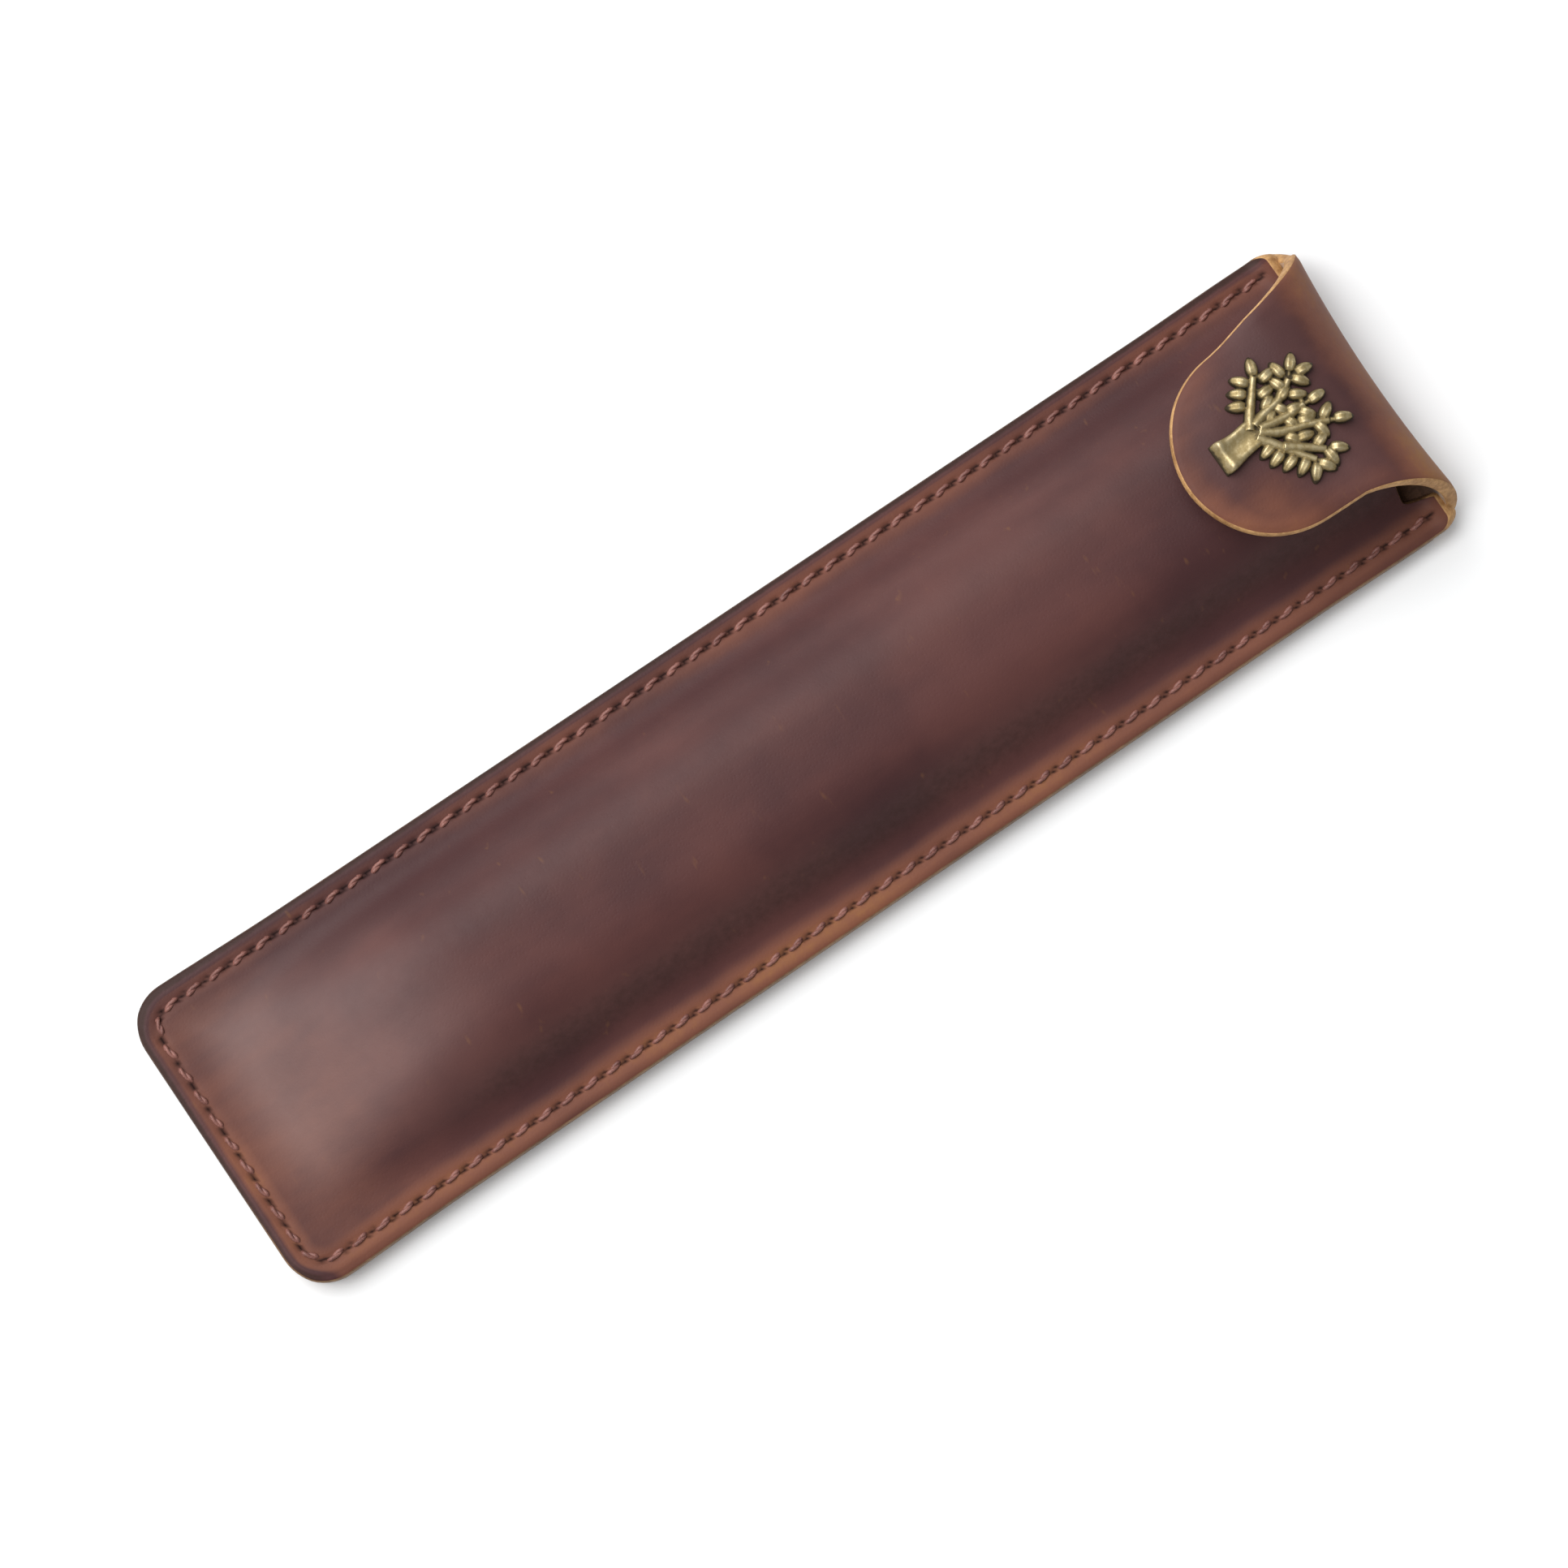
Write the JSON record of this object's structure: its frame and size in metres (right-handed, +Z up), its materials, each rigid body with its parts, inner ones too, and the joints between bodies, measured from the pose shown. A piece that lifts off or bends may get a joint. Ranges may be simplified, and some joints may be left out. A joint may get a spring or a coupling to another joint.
{
  "type": "single pen sleeve",
  "caption": "Slim sewn leather sleeve for one pen, with a domed pocket, a rounded fold-over flap and a press stud under a cast tree ornament.",
  "frame": {"origin": "under the middle of the sleeve, on the surface that its back lies on", "axes": "+Y along the sleeve towards the mouth and flap, +Z up out of the front panel, +X across"},
  "size_m": [0.041, 0.17, 0.0181],
  "materials": {
    "hide": "oiled pull-up",
    "thread": "waxed",
    "antique_brass": "antiqued",
    "spring_wire": "bright"
  },
  "bodies": {
    "sleeve": {"front_panel": "hide", "back_panel": "hide", "left_seam_thread": "thread", "bottom_seam_thread": "thread", "right_seam_thread": "thread", "snap_stud": "antique_brass", "stud_post": "antique_brass"},
    "fold": {"flap_fold": "hide"},
    "flap": {"flap_tongue": "hide", "tree_charm": "antique_brass", "charm_screw": "antique_brass", "snap_socket": "antique_brass", "socket_spring": "spring_wire"}
  },
  "joints": [
    {"name": "fold_bend", "type": "hinge", "parent": "sleeve", "child": "fold", "pos_m": [0, 0.08365, 0.00135], "axis": [-1, 0, 0], "range_deg": [0, 75]},
    {"name": "flap_open", "type": "hinge", "parent": "fold", "child": "flap", "pos_m": [0, 0.08154, 0.01294], "axis": [-1, 0, 0], "range_deg": [0, 75]}
  ],
  "couplings": [
    {"joint": "fold_bend", "follows": "flap_open", "ratio": 1}
  ]
}
